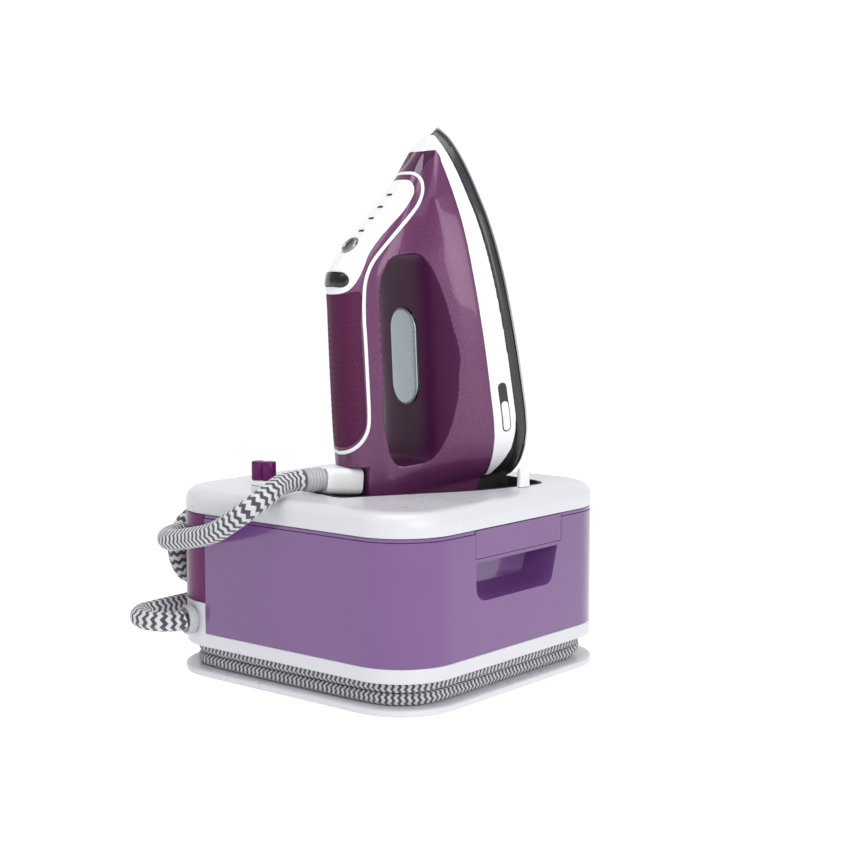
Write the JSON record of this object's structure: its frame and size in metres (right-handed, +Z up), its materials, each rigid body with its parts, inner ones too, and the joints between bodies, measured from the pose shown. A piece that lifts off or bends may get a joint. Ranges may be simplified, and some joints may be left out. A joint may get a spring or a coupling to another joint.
{
  "type": "steam_generator_iron",
  "caption": "Compact steam generator iron: white and violet base with wrap-round water tank, plum iron parked upright in its well, braided steam hose and mains lead",
  "frame": {"origin": "On the floor under the middle of the base", "axes": "+X out of the face with the hand recess, +Y away from the front face of the tank towards the back, +Z up"},
  "size_m": [0.3392, 0.4071, 0.3829],
  "materials": {
    "white_gloss": "glossy moulded",
    "plum_body": "metallic flecked gloss",
    "dark_plum": "dark gloss",
    "grip_rubber": "soft touch with pimples",
    "tank_violet": "clear tinted, satin inside",
    "black_rubber": "matte",
    "black_plastic": "glossy",
    "grey_plastic": "fine grain",
    "light_grey_plastic": "soft matte",
    "silver_badge": "satin silver blue",
    "sole_metal": "anodised satin",
    "cast_aluminium": "as cast",
    "steel": "drawn",
    "circuit_board": "solder mask",
    "braid": "woven grey and white zigzag"
  },
  "bodies": {
    "base": {"base_pan": "white_gloss", "lower_tray": "white_gloss", "top_cover": "white_gloss", "sole_rest": "white_gloss", "lock_foot": "white_gloss", "rear_housing": "dark_plum", "foot_1": "black_rubber", "foot_2": "black_rubber", "foot_3": "black_rubber", "foot_4": "black_rubber", "well_liner": "black_rubber", "boiler_thermostat": "black_plastic", "inlet_valve": "black_plastic", "pump": "grey_plastic", "hose_port": "grey_plastic", "lead_gland": "grey_plastic", "mains_plug": "grey_plastic", "boiler": "steel", "steam_valve": "steel", "control_board": "circuit_board", "steam_hose": "braid", "mains_lead": "braid"},
    "iron": {"soleplate": "sole_metal", "sole_rim": "grey_plastic", "heater_casting": "cast_aluminium", "body_shell": "plum_body", "skirt": "white_gloss", "heel_cap": "black_rubber", "control_panel": "white_gloss", "trim_loop": "white_gloss", "grip_pad": "grip_rubber", "nose_window": "dark_plum", "indicator_1": "black_plastic", "indicator_2": "black_plastic", "indicator_3": "black_plastic", "indicator_4": "black_plastic", "deck_badge": "silver_badge", "side_insert_left": "grey_plastic", "side_insert_right": "grey_plastic", "steam_pipe": "steel", "hose_cuff": "white_gloss", "hose_sleeve": "light_grey_plastic"},
    "power_button": {"power_button": "light_grey_plastic"},
    "mode_button": {"mode_button": "black_plastic"},
    "steam_trigger": {"steam_trigger": "dark_plum"},
    "tank": {"water_tank": "tank_violet", "tank_lid": "tank_violet"},
    "fill_flap": {"fill_flap": "tank_violet"},
    "lock": {"lock_hook": "dark_plum"}
  },
  "joints": [
    {"name": "iron_lift", "type": "slide", "parent": "base", "child": "iron", "axis": [0, 0, 1], "range_m": [0, 0.06]},
    {"name": "power_press", "type": "slide", "parent": "iron", "child": "power_button", "axis": [0.1783, 0.7151, -0.6759], "range_m": [0, 0.001], "stiffness_N_per_m": 900},
    {"name": "mode_press", "type": "slide", "parent": "iron", "child": "mode_button", "axis": [0.2351, 0.943, -0.2356], "range_m": [0, 0.0012], "stiffness_N_per_m": 900},
    {"name": "trigger_pull", "type": "slide", "parent": "iron", "child": "steam_trigger", "axis": [-0.2383, -0.9556, -0.1737], "range_m": [0, 0.003], "stiffness_N_per_m": 700},
    {"name": "tank_slide", "type": "slide", "parent": "base", "child": "tank", "axis": [1, 0, 0], "range_m": [0, 0.12]},
    {"name": "flap_hinge", "type": "hinge", "parent": "tank", "child": "fill_flap", "pos_m": [0.1142, 0, 0.097], "axis": [0, 1, 0], "range_deg": [0, 55]},
    {"name": "lock_turn", "type": "hinge", "parent": "base", "child": "lock", "pos_m": [-0.06, -0.0665, 0.142], "axis": [0, 0, 1], "range_deg": [0, 90]}
  ]
}
